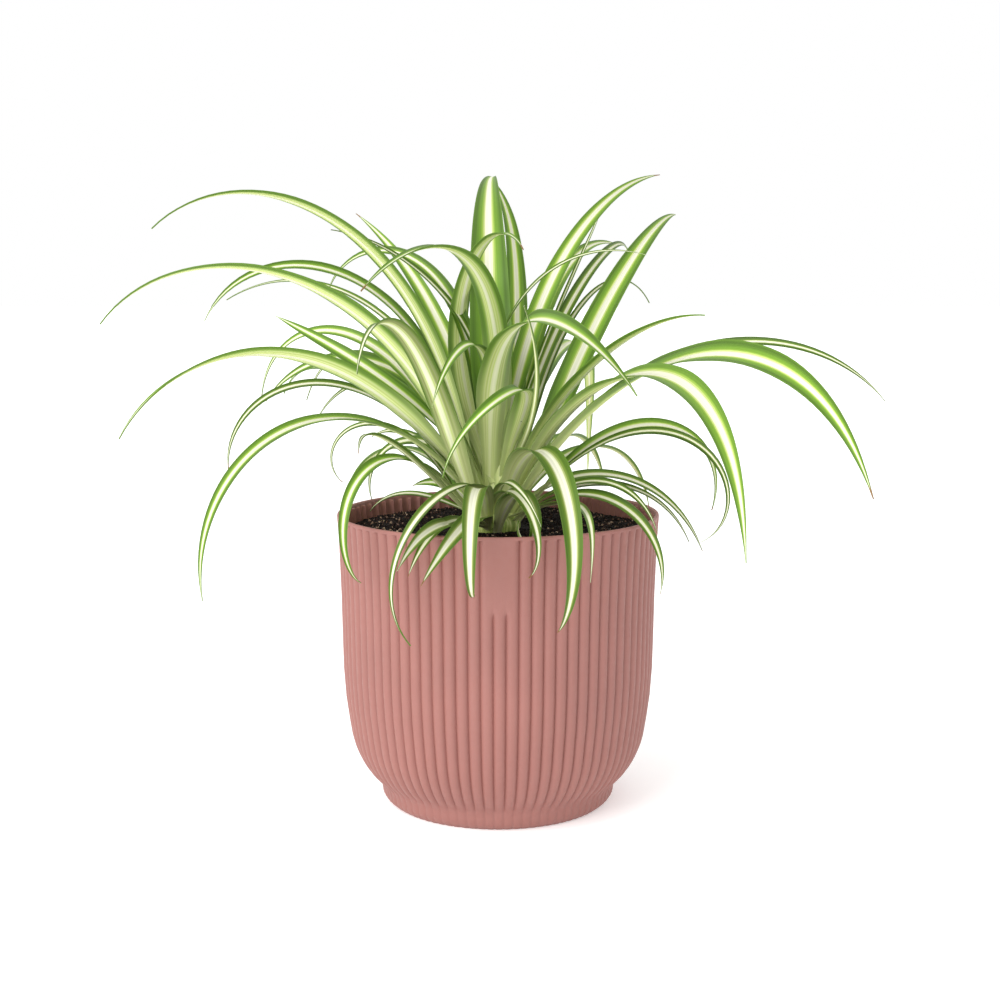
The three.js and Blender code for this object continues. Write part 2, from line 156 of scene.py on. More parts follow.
# One row for each blade, as in the part's source:
# node, foot, ring, heading, rise, bend, late, swing, length, width, turn, twist
BLADES = [
    ("leaf_left_01", 170, 10, 185, 77, 120, 2, 30, 350, 13, 40, 0),
    ("leaf_left_02", 172, 13.5, 170, 80, 145, 2, 35, 300, 15, 0, -60),
    ("leaf_left_02", 160, 11, 160, 63, 145, 2, -20, 270, 12, 0, -80),
    ("leaf_left_03", 145, 9, 140, 70, 95, 1.2, 5, 320, 7, 0, -40),
    ("leaf_left_04", 110, 9, 120, 70, 45, 1, 10, 270, 16, 0, -40),
    ("leaf_left_05", 240, 14, 230, 63, 115, 2, -60, 350, 18, 40, -20),
    ("leaf_left_06", 220, 9, 210, 75, 65, 0.6, -90, 220, 15, 0, -75),
    ("leaf_left_07", 205, 10, 210, 50, 110, 1.8, 5, 310, 18, 40, -10),
    ("leaf_left_08", 130, 10, 140, 63, 120, 1.6, 30, 230, 15, 0, -85),
    ("leaf_left_09", 165, 15, 170, 62, 103, 1.4, -55, 245, 14, 0, -60),
    ("leaf_left_10", 135, 12, 145, 60, 115, 1.5, -25, 265, 9, 0, -85),
    ("leaf_left_10", 135, 12, 135, 65, 125, 1.5, 15, 205, 8, 0, -85),
    ("leaf_left_11", 198, 13, 190, 57, 155, 2, 10, 240, 11, 0, -55),
    ("leaf_left_12", 205, 14, 205, 60, 160, 1.2, 20, 300, 16, 0, -30),
    ("leaf_left_13", 180, 17, 180, 60, 205, 2.5, -15, 160, 6, 0, -80),
    ("leaf_left_14", 140, 14, 150, 65, 175, 1.5, 5, 140, 10, 0, -85),
    ("leaf_left_14", 140, 14, 150, 50, 80, 1.8, -15, 120, 8, 0, -85),
    ("leaf_left_15", 225, 18, 215, 45, 65, 1.6, 60, 200, 8, 0, 15),
    ("leaf_left_16", 205, 17, 215, 55, 215, 1.6, 35, 210, 12, 0, -35),
    ("leaf_left_17", 145, 17, 155, 20, 70, 2, -10, 95, 6, 0, -65),
    ("leaf_left_17", 145, 17, 135, 65, 90, 0.9, 30, 60, 12, 0, -85),
    ("leaf_left_18", 220, 8, 210, 65, 50, 3, 30, 145, 7, 0, -60),
    ("leaf_front_01", 265, 12, 258, 35, 165, 1.3, -60, 200, 11, 0, 0),
    ("leaf_front_02", 250, 19, 250, 15, 40, 1.6, 5, 170, 13, 0, -45),
    ("leaf_front_02", 255, 19, 250, 20, 70, 1.7, -5, 135, 11, 0, -30),
    ("leaf_front_02", 255, 19, 268, 30, 65, 0.9, -25, 165, 15, 0, -40),
    ("leaf_front_03", 255, 17.5, 265, 35, 225, 2.2, 0, 200, 16, 0, -5),
    ("leaf_front_04", 275, 20, 277, 40, 345, 3, 30, 140, 14, 0, 15),
    ("leaf_front_04", 270, 15, 270, 30, 175, 2.3, 40, 150, 10, 0, 25),
    ("leaf_front_04", 270, 15, 270, 45, 95, 1.3, 30, 125, 7, 0, 40),
    ("leaf_front_05", 293, 14.5, 288, 65, 215, 1.2, 0, 255, 20, 0, 10),
    ("leaf_front_06", 310, 16, 306, 18, 65, 2, -45, 200, 8, 0, 0),
    ("leaf_front_07", 230, 16, 235, 60, 125, 2.8, 25, 265, 18, 0, 30),
    ("leaf_heart", 95, 7, 105, 90, 85, 1.4, 120, 235, 8, 0, -60),
    ("leaf_heart", 125, 8, 135, 85, 155, 2.4, 20, 265, 13, 0, -70),
    ("leaf_heart", 5, 12, 190, 152, 152, 1, 80, 80, 12, 0, -85),
    ("leaf_heart", 230, 4.5, 265, 95, 144, 0.9, 50, 288, 26, 30, -5),
    ("leaf_heart", 255, 4, 100, 88, 95, 1.5, -15, 310, 31, 0, 0),
    ("leaf_heart", 230, 4, 310, 125, 165, 1.8, -15, 243, 18, 0, 0),
    ("leaf_heart", 260, 7.5, 275, 125, 190, 1, -35, 215, 13, 0, -30),
    ("leaf_heart", 290, 8.5, 275, 115, 155, 1, -45, 315, 20, 0, 0),
    ("leaf_heart", 295, 5, 315, 110, 125, 1.2, 15, 235, 5, 0, 85),
    ("leaf_heart", 330, 5, 330, 82, 160, 1.1, -150, 203, 17, 0, -20),
    ("leaf_heart", 285, 6.5, 295, 35, 0, 1, -40, 220, 5, 0, -30),
    ("leaf_top", 55, 10, 69, 70, 50, 2, 42, 290, 18, 0, 0),
    ("leaf_right_01", 35, 4, 50, 80, 75, 1.2, 5, 320, 16, 0, 55),
    ("leaf_right_01", 35, 4, 35, 70, 60, 1.4, 50, 280, 4, 0, 0),
    ("leaf_right_02", 60, 11, 70, 70, 80, 1.3, -5, 330, 16, 0, 50),
    ("leaf_right_03", 20, 15, 29, 65, 65, 1.8, 45, 328, 22, 0, 55),
    ("leaf_right_04", 45, 9, 35, 75, 105, 1.4, 50, 340, 10, 0, 60),
    ("leaf_right_05", 30, 13, 50, 70, 110, 2, 10, 280, 6, 0, 35),
    ("leaf_right_06", 314, 12, 327, 74, 75, 0.9, -35, 250, 14, 0, 0),
    ("leaf_right_07", 325, 13, 320, 67, 140, 1.1, -45, 360, 25, 0, 40),
    ("leaf_right_08", 330, 14, 325, 57, 115, 1.3, -35, 385, 26, 0, 65),
    ("leaf_right_09", 351, 9, 338, 49, 100, 1.9, 5, 300, 11, 0, 70),
    ("leaf_right_10", 350, 17.5, 340, 55, 170, 1.9, 60, 210, 13, 0, 85),
    ("leaf_right_11", 337, 15.5, 335, 45, 200, 2.3, 0, 230, 8, 0, 85),
    ("leaf_right_12", 15, 16, 15, 60, 125, 0.7, 15, 180, 10, 0, 85),
    ("leaf_right_12", 15, 16, 15, 35, 95, 1, 25, 165, 7, 0, 85),
    ("leaf_right_13", 325, 17, 325, 35, 140, 1.5, 0, 160, 11, 0, 60),
    ("leaf_right_13", 325, 17, 330, 40, 110, 1.7, -15, 135, 8, 0, 70),
    ("leaf_right_14", 65, 15, 51, 85, 175, 1, 45, 375, 16, 0, 0),
    ("leaf_back_01", 50, 17, 45, 45, 120, 1.4, 5, 195, 13, 0, 0),
    ("leaf_back_02", 60, 16, 60, 45, 110, 1.4, 5, 200, 13, 0, 0),
    ("leaf_back_03", 95, 12, 85, 60, 135, 1.5, 10, 240, 14, 0, 0),
    ("leaf_back_04", 100, 15, 100, 45, 120, 1.4, -5, 205, 13, 0, 0),
    ("leaf_back_05", 110, 11, 115, 60, 130, 1.5, -10, 230, 14, 0, 0),
    ("leaf_back_06", 125, 18, 130, 45, 115, 1.4, 5, 190, 12, 0, 0),
    ("leaf_back_07", 85, 19, 75, 27, 80, 1.4, 5, 140, 10, 0, 0),
    ("leaf_back_07", 85, 19, 90, 27, 85, 1.4, -5, 150, 10, 0, 0),
]
BLADE_KEYS = ("node", "foot", "ring", "heading", "rise", "bend", "late", "swing", "length", "width",
              "turn", "twist")

# How the markings vary from blade to blade
STRIPE_SHIFT = 0.05  # share of the width that the stripe may stand off the middle
STRIPE_SPREAD = (1, 1.4)  # above 1 the cream stripe is narrower
FRONT_SPREAD = (0.75, 0.95)  # on the blades that hang over the front
BLADE_SHADE = (0.9, 1.08)  # how light the margins are, where 1 is as in the scale of stripes
FRONT_SHADE = 0.5  # times that, on the blades that hang over the front
SMALL_SHADE = 0.6  # times that, on the other blades up to this width
SMALL_BLADE = 11
BROWN_TIPS = 0.35  # share of the blades whose tip has dried
BROWN_FROM = (0.965, 0.99)  # share of the length where a dried tip begins
BROWN_NOWHERE = 2  # past the end, on a blade whose tip is green

# Colours from 0 to 255, chosen to look right in the light of this scene
POT_COLOUR = (150, 99, 91)
SOIL_COLOURS = [
    (0, (12, 7, 5)),
    (0.5, (24, 14, 11)),
    (0.8, (54, 34, 27)),
    (0.9, (104, 74, 60)),
    (1, (196, 170, 146)),
]
CROWN_COLOURS = [(0, (134, 156, 66)), (0.5, (174, 190, 102)), (1, (204, 213, 138))]
FLOOR_COLOUR = (246, 246, 246)
# Across a blade from edge to edge, on its upper face and on its under side
UPPER_STRIPES = [
    (0.00, (80, 112, 34)),
    (0.07, (94, 130, 40)),
    (0.22, (112, 150, 46)),
    (0.29, (152, 180, 76)),
    (0.325, (200, 208, 136)),
    (0.34, (162, 186, 84)),
    (0.36, (212, 215, 178)),
    (0.40, (222, 221, 200)),
    (0.60, (220, 219, 196)),
    (0.64, (208, 212, 166)),
    (0.655, (164, 188, 86)),
    (0.67, (202, 209, 140)),
    (0.71, (152, 180, 74)),
    (0.79, (112, 150, 46)),
    (0.93, (94, 130, 40)),
    (1.00, (80, 112, 34)),
]
LOWER_STRIPES = [
    (0.00, (90, 122, 46)),
    (0.08, (114, 146, 60)),
    (0.15, (156, 180, 92)),
    (0.22, (202, 212, 146)),
    (0.27, (180, 198, 104)),
    (0.31, (220, 227, 166)),
    (0.37, (192, 208, 120)),
    (0.41, (226, 230, 188)),
    (0.50, (238, 238, 212)),
    (0.58, (224, 229, 184)),
    (0.62, (190, 206, 116)),
    (0.67, (219, 227, 164)),
    (0.73, (184, 202, 110)),
    (0.79, (200, 211, 144)),
    (0.87, (150, 176, 88)),
    (0.94, (112, 144, 58)),
    (1.00, (90, 122, 46)),
]
EDGE_COLOUR = (100, 134, 48)
# The blade's pale foot: its real blanched base, made paler and reaching further up the under side, as
# painted light for the light that shines through the leaves into the shaded middle of the plant
FOOT_BLANCH_PAINTED_LIGHT_COLOUR = (236, 243, 174)
FOOT_BLANCH_PAINTED_LIGHT_SHARE = 0.6  # share of that colour at the very foot, part real blanching and part painted light
DRY_COLOUR = (128, 98, 58)
WHITE = (1, 1, 1, 1)

# Materials: noise scales and bump depths are for metres, and the first roughness is where noise is low
NOISE_MIDDLE = (0.3, 0.7)  # most of a noise lies between these
POT_CLOUD_SCALE = 18
POT_CLOUDS = (0.94, 1.03)  # times the pot's colour
POT_ROUGHNESS_SCALE = 240
POT_ROUGHNESS = (0.5, 0.62)
POT_SPECULAR = 0.5
POT_GRAIN_SCALE = 1400
POT_GRAIN_DEPTH = 0.00006
SOIL_SCALE = 420
SOIL_SPAN = (0.35, 0.85)  # the part of the noise that the soil's colours take up
SOIL_ROUGHNESS = (1, 0.8)
SOIL_SPECULAR = 0.15
SOIL_DEPTH = 0.0015
GRIT_SCALE = 900
GRIT_TINT = 0.1  # how far a grain's shade varies on its own surface
GRIT_ROUGHNESS = (0.9, 0.65)
GRIT_SPECULAR = 0.2
GRIT_DEPTH = 0.0004
SHEATH_SCALE = 420
SHEATH_STRETCH = 0.12  # below 1 its lines run upright
SHEATH_SPAN = (0.35, 0.65)
SHEATH_ROUGHNESS = (0.6, 0.45)
SHEATH_DEPTH = 0.0004
# On a blade, noise runs over its width and its length, and each of them counts as 1
NOISE_APART = 90  # sets the noise of one blade apart from that of the next
DRIFT_ALONG = 2.5  # how often the stripe drifts sideways along a blade
STRIPE_DRIFT = 0.05  # how far it does, as a share of the width
VEINS_ACROSS = 18
VEINS_ALONG = 1.6
VEIN_SPAN = (0.25, 0.75)
VEIN_LIGHT = (0.86, 1.08)  # times the blade's colour
VEIN_DEPTH = 0.00006
MARGIN_FROM = (0.12, 0.2)  # the margins begin between these, measured from the stripe's middle
EDGE_FROM = (0.43, 0.5)  # the thin line at the edge, measured from the blade's middle
EDGE_TINT = 0.6
DRY_FADE = 0.012  # share of the length over which a tip turns dry
BLADE_SPECULAR = 0.2
UPPER_ROUGHNESS = (0.48, 0.38)
LOWER_ROUGHNESS = (0.56, 0.46)
UPPER_BLANCH_PAINTED_LIGHT_REACH = 0.22  # share of the length where the pale foot, real blanching with painted light over it, has faded out
# the under side's pale foot reaches further, which is painted light
LOWER_BLANCH_PAINTED_LIGHT_REACH = 0.42
FLOOR_ROUGHNESS = 0.9

# Light
WORLD_STRENGTH = 0.97  # on the object
BACKDROP_STRENGTH = 1  # seen by the camera
SUN_FROM = (-1.3, -1.1, 1.6)
SUN_STRENGTH = 1.9
SUN_ANGLE = 50  # degrees across, so that its shadows are soft
FRONT_PLACE = (-0.9, -1.5, 0.5)
FRONT_SIZE = 1
FRONT_POWER = 7
LIGHT_AIM = (0, 0, 0.25)
FLOOR_SIZE = 30
FLOOR_GLOW = 0.3  # the floor is a lit table, so that shadows on it stay pale


def smooth(share):
    """A share held between 0 and 1, and eased at both ends."""
    t = np.clip(share, 0, 1)
    return t * t * (3 - 2 * t)


def linear(colour):
    """The shader's linear colour for one that is seen as 0 to 255."""
    shares = [value / 255 for value in colour]
    return tuple(s / 12.92 if s <= 0.04045 else ((s + 0.055) / 1.055) ** 2.4 for s in shares) + (1,)


# Meshes

def tube(rings, start, end):
    """Points and faces of a closed form through rings of equal count, with a fan at each end."""
    levels, count = rings.shape[:2]
    points = np.concatenate([rings.reshape(-1, 3), [start], [end]])
    faces = []
    for level in range(levels - 1):
        low = level * count
        for i in range(count):
            j = (i + 1) % count
            faces.append((low + i, low + j, low + count + j, low + count + i))
    first, last = levels * count, levels * count + 1
    top = (levels - 1) * count
    for i in range(count):
        j = (i + 1) % count
        faces.append((first, j, i))
        faces.append((last, top + i, top + j))
    return points, faces


def make_object(name, points, faces, slot, *materials):
    mesh = bpy.data.meshes.new(name)
    mesh.from_pydata((np.asarray(points) * MM).tolist(), [], faces)
    mesh.polygons.foreach_set("use_smooth", [True] * len(mesh.polygons))
    mesh.set_sharp_from_angle(angle=math.radians(SHARP_ANGLE))
    for material in materials:
        mesh.materials.append(material)
    made = bpy.data.objects.new(name, mesh)
    bpy.context.collection.objects.link(made)
    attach(made, BODY)
    return made


def outside_at(z, column):
    """The outer wall's rib share at a height, or its radius there, on a smooth curve."""
    heights = [row[0] for row in POT_OUTSIDE]
    values = [row[column] for row in POT_OUTSIDE]
    if column == RIB_COLUMN:
        return float(np.interp(z, heights, values))
    slopes = np.gradient(values, heights)
    low = min(max(int(np.searchsorted(heights, z)) - 1, 0), len(heights) - 2)
    step = heights[low + 1] - heights[low]
    t = (z - heights[low]) / step
    return float(
        (1 + 2 * t) * (1 - t) ** 2 * values[low]
        + t * (1 - t) ** 2 * step * slopes[low]
        + t * t * (3 - 2 * t) * values[low + 1]
        - t * t * (1 - t) * step * slopes[low + 1]
    )


def pot_ring(z, crest_radius, rib_share, has_panel):
    ribs = np.arange(RIB_COUNT * RIB_SEGMENTS) / RIB_SEGMENTS
    fall = RIB_DEPTH * rib_share * np.abs(2 * (ribs - np.round(ribs))) ** RIB_POWER
    if has_panel:
        from_front = np.minimum(ribs, RIB_COUNT - ribs)
        in_panel = float(smooth((z - PANEL_BOTTOM) / PANEL_BLEND))
        fall = np.where(from_front <= PANEL_FLAT, fall * (1 - in_panel), fall)
    angle = math.radians(FIRST_RIB) + ribs * 2 * math.pi / RIB_COUNT
    radius = crest_radius - fall
    return np.stack([radius * np.cos(angle), radius * np.sin(angle), np.full_like(angle, z)], axis=1)


def make_pot(material):
    rings = [pot_ring(z, outside_at(z, RADIUS_COLUMN), outside_at(z, RIB_COLUMN), True) for z in POT_LEVELS]
    rings += [pot_ring(z, radius, 0, False) for z, radius in POT_LIP]
    rings += [pot_ring(z, outside_at(z, RADIUS_COLUMN) - WALL, share, False) for z, share in POT_INSIDE]
    rings.append(pot_ring(POT_FLOOR, POT_FLOOR_RADIUS, 0, False))
    points, faces = tube(np.array(rings), (0, 0, 0), (0, 0, POT_FLOOR))
    pot = make_object("pot_ribbed", points, faces, "pot_plastic", material)
    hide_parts("pot")


def circle(radius, z, count, centre=(0, 0)):
    angle = np.arange(count) * 2 * math.pi / count
    return np.stack([centre[0] + radius * np.cos(angle), centre[1] + radius * np.sin(angle),
                     np.full(count, float(z))], axis=1)


def soil_edge_radius(z):
    return outside_at(z, RADIUS_COLUMN) - WALL - SOIL_WALL_GAP


def soil_height(x, y, radius):
    """The soil's surface: level, falling to the wall, with slow swells and small lumps."""
    edge = soil_edge_radius(SOIL_EDGE_TOP)
    fall = (SOIL_TOP - SOIL_EDGE_TOP) * float(smooth((radius - edge + SOIL_EDGE_FALL) / SOIL_EDGE_FALL))
    swell = SOIL_SWELL * noise.noise(Vector((x, y, 0)) / SOIL_SWELL_SIZE)
    lump = SOIL_LUMP * noise.noise(Vector((x, y, SOIL_SWELL_SIZE)) / SOIL_LUMP_SIZE)
    return SOIL_TOP - fall + swell + lump


def make_soil(material):
    edge = soil_edge_radius(SOIL_EDGE_TOP)
    hole = CROWN_BASE_RADIUS - CROWN_TUCK + SEAT_GAP
    rings = [
        circle(POT_FLOOR_RADIUS - SOIL_WALL_GAP, POT_FLOOR + SEAT_GAP, SOIL_SECTORS),
        circle(soil_edge_radius(BELLY_Z), BELLY_Z, SOIL_SECTORS),
        circle(edge - SOIL_SHOULDER_IN, SOIL_EDGE_TOP - SOIL_SHOULDER_DOWN, SOIL_SECTORS),
    ]
    steps = int((edge - hole) / SOIL_RING_STEP)
    for i in range(steps + 1):
        share = i / steps
        radius = edge + (hole - edge) * share
        ring = circle(radius, 0, SOIL_SECTORS, (CROWN_X * share, CROWN_Y * share))
        for point in ring:
            point[2] = soil_height(point[0], point[1], radius)
        rings.append(ring)
    crown_centre = (CROWN_X, CROWN_Y)
    rings.append(circle(hole, CROWN_BASE_Z - SEAT_GAP - SOIL_HOLE_DOWN, SOIL_SECTORS, crown_centre))
    rings.append(circle(CROWN_STUB_RADIUS + SEAT_GAP, CROWN_STUB_Z - SEAT_GAP, SOIL_SECTORS, crown_centre))
    points, faces = tube(np.array(rings), (0, 0, POT_FLOOR + SEAT_GAP),
                         (CROWN_X, CROWN_Y, CROWN_STUB_Z - SEAT_GAP))
    soil = make_object("soil_bed", points, faces, "soil", material)
    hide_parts("soil")


def grain_form():
    """Corners and faces of a rough eight-sided lump."""
    corners = [(1, 0, 0), (0, 1, 0), (-1, 0, 0), (0, -1, 0), (0, 0, 1), (0, 0, -1)]
    faces = [(0, 1, 4), (1, 2, 4), (2, 3, 4), (3, 0, 4), (1, 0, 5), (2, 1, 5), (3, 2, 5), (0, 3, 5)]
    return corners, faces


def make_grains(material, draw):
    corners, form = grain_form()
    edge = soil_edge_radius(SOIL_EDGE_TOP) - GRAIN_EDGE
    points, faces, shades = [], [], []
    while len(shades) < GRAIN_COUNT * len(corners):
        radius = edge * math.sqrt(draw.random())
        angle = draw.uniform(0, 2 * math.pi)
        x, y = radius * math.cos(angle), radius * math.sin(angle)
        if math.hypot(x - CROWN_X, y - CROWN_Y) < CROWN_BASE_RADIUS + 2 * GRAIN_SIZES[1]:
            continue
        turn = Euler([draw.uniform(0, 2 * math.pi) for _ in range(3)]).to_matrix()
        half = [draw.uniform(*GRAIN_SIZES) for _ in range(3)]
        centre = Vector((x, y, soil_height(x, y, radius) + GRAIN_RAISE * min(half)))
        low = len(points)
        for corner in corners:
            sized = Vector([c * h * draw.uniform(*GRAIN_CORNERS) for c, h in zip(corner, half)])
            points.append(centre + turn @ sized)
        faces += [tuple(low + i for i in face) for face in form]
        is_pale = draw.random() < PALE_GRAINS
        shades += [draw.uniform(*(PALE_SHADES if is_pale else DARK_SHADES))] * len(corners)
    grains = make_object("soil_grains", [tuple(p) for p in points], faces, "soil", material)
    shade = grains.data.attributes.new("shade", "FLOAT", "POINT")
    shade.data.foreach_set("value", shades)


def make_crown(material):
    centre = (CROWN_X, CROWN_Y)
    rings = [circle(CROWN_STUB_RADIUS, CROWN_STUB_Z, CROWN_SIDES, centre)]
    angle = np.arange(CROWN_SIDES) * 2 * math.pi / CROWN_SIDES
    for level in range(CROWN_LEVELS + 1):
        share = level / CROWN_LEVELS
        radius = CROWN_BASE_RADIUS + (CROWN_TOP_RADIUS - CROWN_BASE_RADIUS) * share
        radius -= CROWN_TUCK * max(0, 1 - share / CROWN_TUCK_TO) ** 2
        ring = circle(radius, CROWN_BASE_Z + (CROWN_TOP_Z - CROWN_BASE_Z) * share, CROWN_SIDES, centre)
        wave = np.abs(np.sin(angle * CROWN_FOLDS / 2 + CROWN_FOLD_LEAN * share))
        fold = CROWN_FOLD_DEPTH * (1 - share) * wave
        ring[:, 0] -= fold * np.cos(angle)
        ring[:, 1] -= fold * np.sin(angle)
        rings.append(ring)
    points, faces = tube(np.array(rings), (*centre, CROWN_STUB_Z), (*centre, CROWN_TOP_Z))
    crown = make_object("crown_sheaths", points, faces, "crown", material)
    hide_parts("crown")


# Blades

def cone_height(ring):
    share = (CROWN_BASE_RADIUS - ring) / (CROWN_BASE_RADIUS - CROWN_TOP_RADIUS)
    return CROWN_BASE_Z + share * (CROWN_TOP_Z - CROWN_BASE_Z)


def blade_axes(blade, share):
    """Unit vectors along the blade, across it and up from its channel, for an array of shares."""
    rise = np.radians(blade["rise"] - blade["bend"] * share ** blade["late"])
    heading = np.radians(blade["heading"] + blade["swing"] * share)
    twist = np.radians(blade["turn"] * np.sin(share * math.pi) + blade["twist"] * share)[:, None]
    along = np.stack([np.cos(rise) * np.cos(heading), np.cos(rise) * np.sin(heading), np.sin(rise)], axis=1)
    level = np.stack([-np.sin(heading), np.cos(heading), np.zeros_like(heading)], axis=1)
    across = level * np.cos(twist) + np.cross(along, level) * np.sin(twist)
    return along, across, np.cross(along, across)


def blade_centres(blade):
    steps = np.arange(BLADE_SEGMENTS) + 0.5
    along = blade_axes(blade, steps / BLADE_SEGMENTS)[0]
    angle = math.radians(blade["foot"])
    foot = np.array([CROWN_X + blade["ring"] * math.cos(angle), CROWN_Y + blade["ring"] * math.sin(angle),
                     cone_height(blade["ring"]) + FOOT_LIFT])
    run = np.cumsum(along * blade["length"] / BLADE_SEGMENTS, axis=0)
    return np.concatenate([[foot], foot + run])


def blade_widths(blade, share):
    foot = FOOT_WIDTH + (1 - FOOT_WIDTH) * smooth(share / FULL_WIDTH_AT)
    return np.maximum(TIP_WIDTH, blade["width"] * foot * (1 - share ** TIP_TAPER))


def make_blade(blade, phase):
    """Points, faces, coordinates (across, along) for each point, and which faces are the under side."""
    share = np.arange(BLADE_SEGMENTS + 1) / BLADE_SEGMENTS
    centres = blade_centres(blade)
    along, across, up = blade_axes(blade, share)
    widths = blade_widths(blade, share)
    side = np.linspace(-1, 1, BLADE_COLUMNS)
    trough = -CHANNEL * (1 - np.abs(side) ** CHANNEL_POWER)
    waves = share * blade["length"] / EDGE_WAVE_LENGTH * 2 * math.pi + phase
    wave = EDGE_WAVE * smooth(share / FULL_WIDTH_AT)[:, None] * np.sin(waves)[:, None]
    upper = widths[:, None] * (trough + wave * side ** EDGE_WAVE_POWER)
    thickness = BLADE_THICKNESS * (1 - EDGE_THIN * side ** EDGE_THIN_POWER)
    lower = upper - thickness
    out = widths[:, None] * side / 2
    heights = np.concatenate([lower, upper[:, ::-1]], axis=1)
    outs = np.concatenate([out, out[:, ::-1]], axis=1)
    rings = (centres[:, None] + outs[..., None] * across[:, None] + heights[..., None] * up[:, None])
    root = rings[:1] - FOOT_ROOT * along[0]
    rings = np.concatenate([root, rings])
    middles = (rings[0].mean(axis=0), rings[-1].mean(axis=0))
    points, faces = tube(rings, *middles)
    count = 2 * BLADE_COLUMNS
    u = np.concatenate([side, side[::-1]]) / 2 + 0.5
    v = np.concatenate([[0], share])
    places = np.stack(np.broadcast_arrays(u[None, :], v[:, None]), axis=2).reshape(-1, 2)
    places = np.concatenate([places, [(0.5, 0), (0.5, 1)]])
    is_under = [index < (len(rings) - 1) * count and index % count < BLADE_COLUMNS - 1
                for index in range(len(faces))]
    return points, faces, places, is_under


def blade_look(blade, draw):
    """Stripe shift, stripe spread, how light the margins are, and where the tip turns brown."""
    is_front = blade["node"].startswith("leaf_front")
    darker = FRONT_SHADE if is_front else SMALL_SHADE if blade["width"] <= SMALL_BLADE else 1
    shade = draw.uniform(*BLADE_SHADE) * darker
    brown = draw.uniform(*BROWN_FROM) if draw.random() < BROWN_TIPS else BROWN_NOWHERE
    spread = FRONT_SPREAD if is_front else STRIPE_SPREAD
    return (draw.uniform(-STRIPE_SHIFT, STRIPE_SHIFT), draw.uniform(*spread), shade, brown)


def make_leaf(node, blades, upper, lower, draw):
    points, faces, places, looks, under = [], [], [], [], []
    for blade in blades:
        made, blade_faces, blade_places, is_under = make_blade(blade, draw.uniform(0, 2 * math.pi))
        low = len(points)
        points.extend(made)
        faces += [tuple(low + i for i in face) for face in blade_faces]
        places.extend(blade_places)
        looks += [blade_look(blade, draw)] * len(made)
        under += is_under
    leaf = make_object(f"{node}_blades", points, faces, "leaf", upper, lower)
    mesh = leaf.data
    mesh.polygons.foreach_set("material_index", [int(face) for face in under])
    corners = np.empty(len(mesh.loops), dtype=int)
    mesh.loops.foreach_get("vertex_index", corners)
    mesh.uv_layers.new(name="blade").data.foreach_set("uv", np.array(places)[corners].ravel())
    look = mesh.attributes.new("look", "FLOAT_COLOR", "POINT")
    look.data.foreach_set("color", np.array(looks).ravel())
    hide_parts(node)


def make_leaves(upper, lower, draw):
    nodes = {}
    for row in BLADES:
        blade = dict(zip(BLADE_KEYS, row))
        nodes.setdefault(blade["node"], []).append(blade)
    for node, blades in nodes.items():
        make_leaf(node, blades, upper, lower, draw)


# Materials

class Nodes:
    """Short ways to add nodes to a material."""

    def __init__(self, name):
        self.material = bpy.data.materials.new(name)
        self.material.use_nodes = True
        self.tree = self.material.node_tree
        self.shader = self.tree.nodes["Principled BSDF"]

    def add(self, kind, **settings):
        node = self.tree.nodes.new(kind)
        for key, value in settings.items():
            setattr(node, key, value)
        return node

    def put(self, value, socket):
        """Links an output to a socket, or sets the socket to a plain value."""
        if isinstance(value, bpy.types.NodeSocket):
            self.tree.links.new(value, socket)
        else:
            socket.default_value = value

    def feed(self, name, value):
        """Links an output to one of the shader's inputs, or sets it to a plain value."""
        self.put(value, self.shader.inputs[name])

    def maths(self, operation, a, b=0.0, c=0.0):
        node = self.add("ShaderNodeMath", operation=operation)
        for value, socket in zip((a, b, c), node.inputs):
            self.put(value, socket)
        return node.outputs[0]

    def span(self, value, low, high, to_low=0.0, to_high=1.0):
        node = self.add("ShaderNodeMapRange", interpolation_type="SMOOTHSTEP")
        for given, socket in zip((value, low, high, to_low, to_high), node.inputs):
            self.put(given, socket)
        return node.outputs[0]

    def ramp(self, value, stops):
        node = self.add("ShaderNodeValToRGB")
        elements = node.color_ramp.elements
        while len(elements) < len(stops):
            elements.new(1)
        for element, (position, colour) in zip(elements, stops):
            element.position = position
            element.color = linear(colour)
        self.put(value, node.inputs[0])
        return node.outputs[0]

    def mix(self, share, a, b, kind="MIX"):
        node = self.add("ShaderNodeMix", data_type="RGBA", blend_type=kind)
        self.put(share, node.inputs[0])
        self.put(a, node.inputs[6])
        self.put(b, node.inputs[7])
        return node.outputs[2]

    def join(self, x, y, z):
        node = self.add("ShaderNodeCombineXYZ")
        for value, socket in zip((x, y, z), node.inputs):
            self.put(value, socket)
        return node.outputs[0]

    def noise(self, vector, scale, detail=2.0):
        node = self.add("ShaderNodeTexNoise")
        self.put(vector, node.inputs["Vector"])
        node.inputs["Scale"].default_value = scale
        node.inputs["Detail"].default_value = detail
        return node.outputs["Fac"]

    def position(self):
        return self.add("ShaderNodeTexCoord").outputs["Object"]

    def bump(self, height, distance):
        node = self.add("ShaderNodeBump")
        node.inputs["Distance"].default_value = distance
        node.inputs["Strength"].default_value = 1
        self.put(height, node.inputs["Height"])
        self.feed("Normal", node.outputs[0])


def plastic_material():
    """Matte terracotta plastic with a fine grain and faint clouds in its colour."""
    nodes = Nodes("pot_plastic")
    place = nodes.position()
    darker, lighter = (linear([share * value for value in POT_COLOUR]) for share in POT_CLOUDS)
    nodes.feed("Base Color", nodes.mix(nodes.noise(place, POT_CLOUD_SCALE), darker, lighter))
    speckle = nodes.noise(place, POT_ROUGHNESS_SCALE)
    nodes.feed("Roughness", nodes.span(speckle, *NOISE_MIDDLE, *POT_ROUGHNESS))
    nodes.feed("Specular IOR Level", POT_SPECULAR)
    nodes.bump(nodes.noise(place, POT_GRAIN_SCALE, detail=1.0), POT_GRAIN_DEPTH)
    return nodes.material


